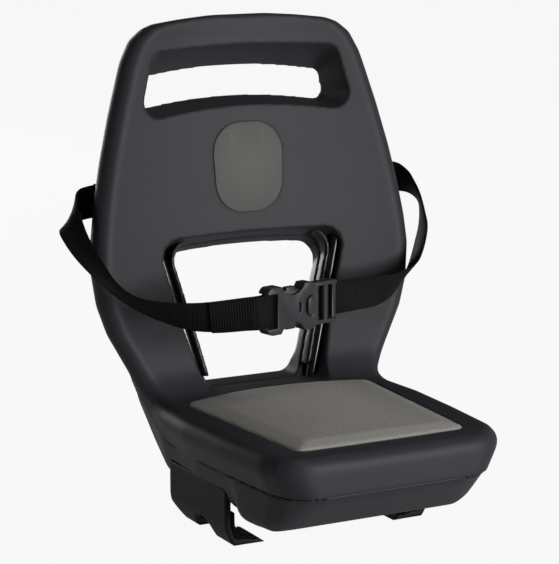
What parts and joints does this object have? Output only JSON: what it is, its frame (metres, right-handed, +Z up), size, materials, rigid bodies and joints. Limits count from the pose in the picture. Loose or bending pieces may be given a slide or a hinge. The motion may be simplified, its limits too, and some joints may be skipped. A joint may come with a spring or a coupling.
{
  "type": "child bicycle seat",
  "caption": "Child seat for a bicycle's rear carrier: moulded backrest with a handle slot and an open lower back, padded pan, waist strap with buckle, and carrier clamps underneath.",
  "frame": {"origin": "middle of the tray's flat underside, level with the top of the carrier's rails and midway between the clamps", "axes": "+X to the right as seen from the front, the seat faces -Y, +Z up"},
  "size_m": [0.3186, 0.2734, 0.3779],
  "materials": {
    "shell": "fine moulded grain",
    "pad": "grained foam",
    "inlay": "matt",
    "stay": "gloss black",
    "webbing": "ribbed weave",
    "buckle": "satin",
    "clamp": "satin",
    "lining": "matt",
    "fastener": "zinc plated"
  },
  "bodies": {
    "seat": {"front_shell": "shell", "rear_shell": "shell", "seat_pad": "pad", "back_inlay": "inlay", "left_stay": "stay", "right_stay": "stay", "waist_strap": "webbing", "buckle_housing": "buckle", "buckle_tongue": "buckle", "clamp_bolts": "fastener", "clamp_washers": "fastener", "clamp_nuts": "fastener", "shell_screws": "fastener"},
    "left_jaw": {"left_clamp": "clamp", "left_front_lining": "lining", "left_rear_lining": "lining"},
    "right_jaw": {"right_clamp": "clamp", "right_front_lining": "lining", "right_rear_lining": "lining"},
    "button": {"release_button": "buckle"}
  },
  "joints": [
    {"name": "left_clamp_slide", "type": "slide", "parent": "seat", "child": "left_jaw", "axis": [1, 0, 0], "range_m": [0, 0.012]},
    {"name": "right_clamp_slide", "type": "slide", "parent": "seat", "child": "right_jaw", "axis": [-1, 0, 0], "range_m": [0, 0.012]},
    {"name": "button_press", "type": "slide", "parent": "seat", "child": "button", "axis": [-0.225, 0.9744, 0], "range_m": [0, 0.0015], "stiffness_N_per_m": 400}
  ]
}
